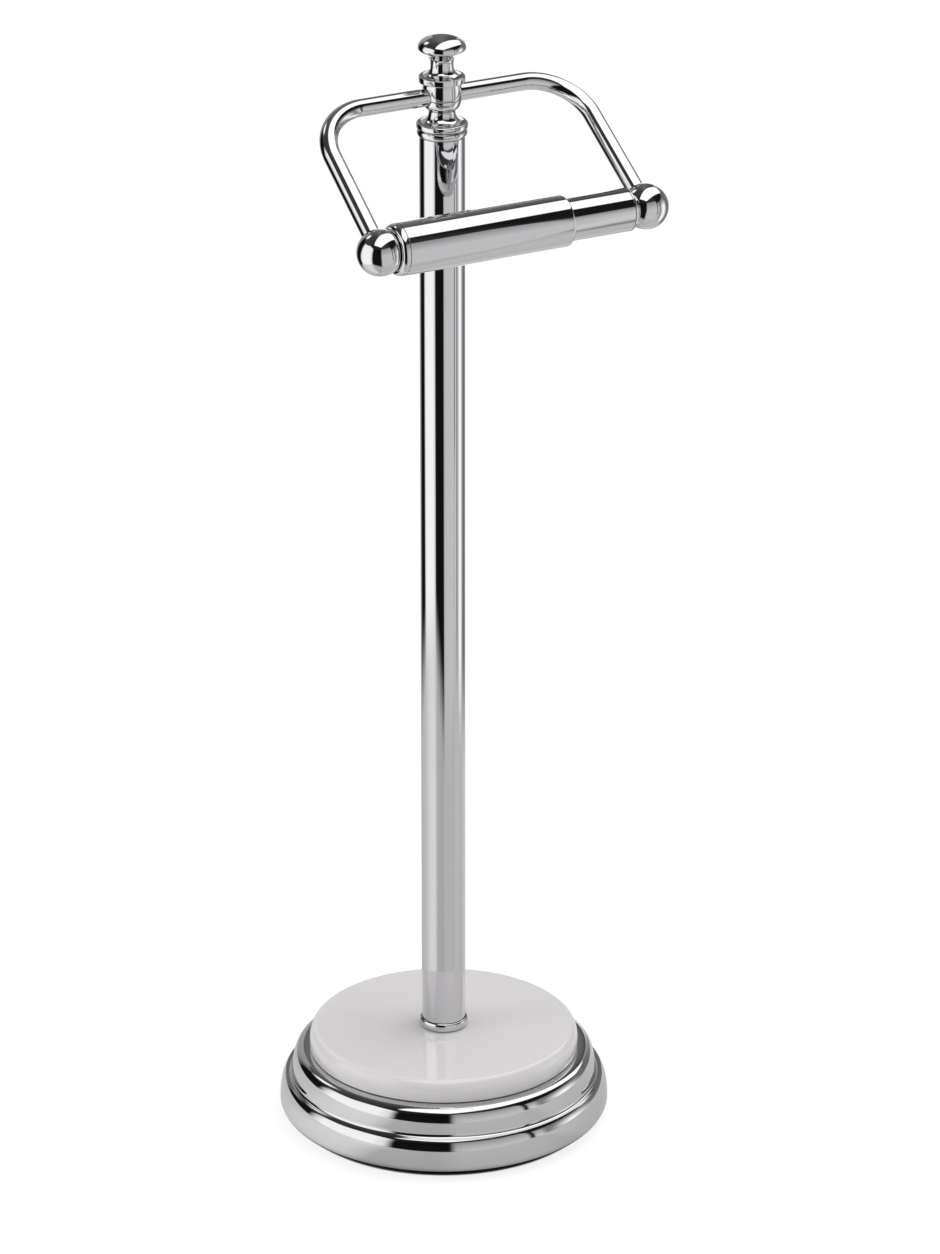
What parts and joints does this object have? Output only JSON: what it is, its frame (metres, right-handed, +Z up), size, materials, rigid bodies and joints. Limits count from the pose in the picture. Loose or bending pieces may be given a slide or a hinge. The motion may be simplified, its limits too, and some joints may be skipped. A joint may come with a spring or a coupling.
{
  "type": "freestanding toilet paper holder",
  "caption": "Freestanding toilet paper holder: weighted round base with a white disc, tall tube, turned finial, bent rod loop and a sprung telescopic roller between two balls.",
  "frame": {"origin": "on the floor, on the axis of the tube, at the middle of the round base", "axes": "+Z up along the tube, +X along the roller towards its narrow tube, and -Y the front, where the roller hangs"},
  "size_m": [0.189, 0.189, 0.6447],
  "materials": {
    "chrome": "mirror polished plating",
    "plain_steel": "plain zinc plated",
    "zinc_alloy": "as cast",
    "cast_iron": "raw casting",
    "glaze": "glossy white glaze",
    "black_plastic": "matte",
    "rubber": "matte"
  },
  "bodies": {
    "stand": {"foot_1": "rubber", "foot_2": "rubber", "foot_3": "rubber", "foot_4": "rubber", "base_cover": "black_plastic", "base_shell": "chrome", "base_weight": "cast_iron", "base_bolt": "plain_steel", "spring_washer": "plain_steel", "bolt_washer": "plain_steel", "white_disc": "glaze", "foot_collar": "chrome", "post_tube": "chrome", "lower_insert": "zinc_alloy", "upper_insert": "zinc_alloy", "post_cap": "chrome", "hub_stud": "plain_steel", "finial_hub": "chrome", "finial_knob": "chrome", "clamp_stud": "plain_steel", "loop_rod": "chrome", "ball_left": "chrome", "ball_right": "chrome"},
    "roller_wide": {"roller_outer": "chrome", "outer_cap": "chrome", "roller_spring": "plain_steel"},
    "roller_narrow": {"roller_inner": "chrome", "inner_cap": "chrome"}
  },
  "joints": [
    {"name": "roller_spin", "type": "hinge", "parent": "stand", "child": "roller_wide", "pos_m": [0, -0.08, 0.5576], "axis": [1, 0, 0], "continuous": true},
    {"name": "roller_compress", "type": "slide", "parent": "roller_wide", "child": "roller_narrow", "axis": [-1, 0, 0], "range_m": [0, 0.009], "stiffness_N_per_m": 280, "springref_m": -0.02, "deforming": ["roller_spring"]}
  ]
}
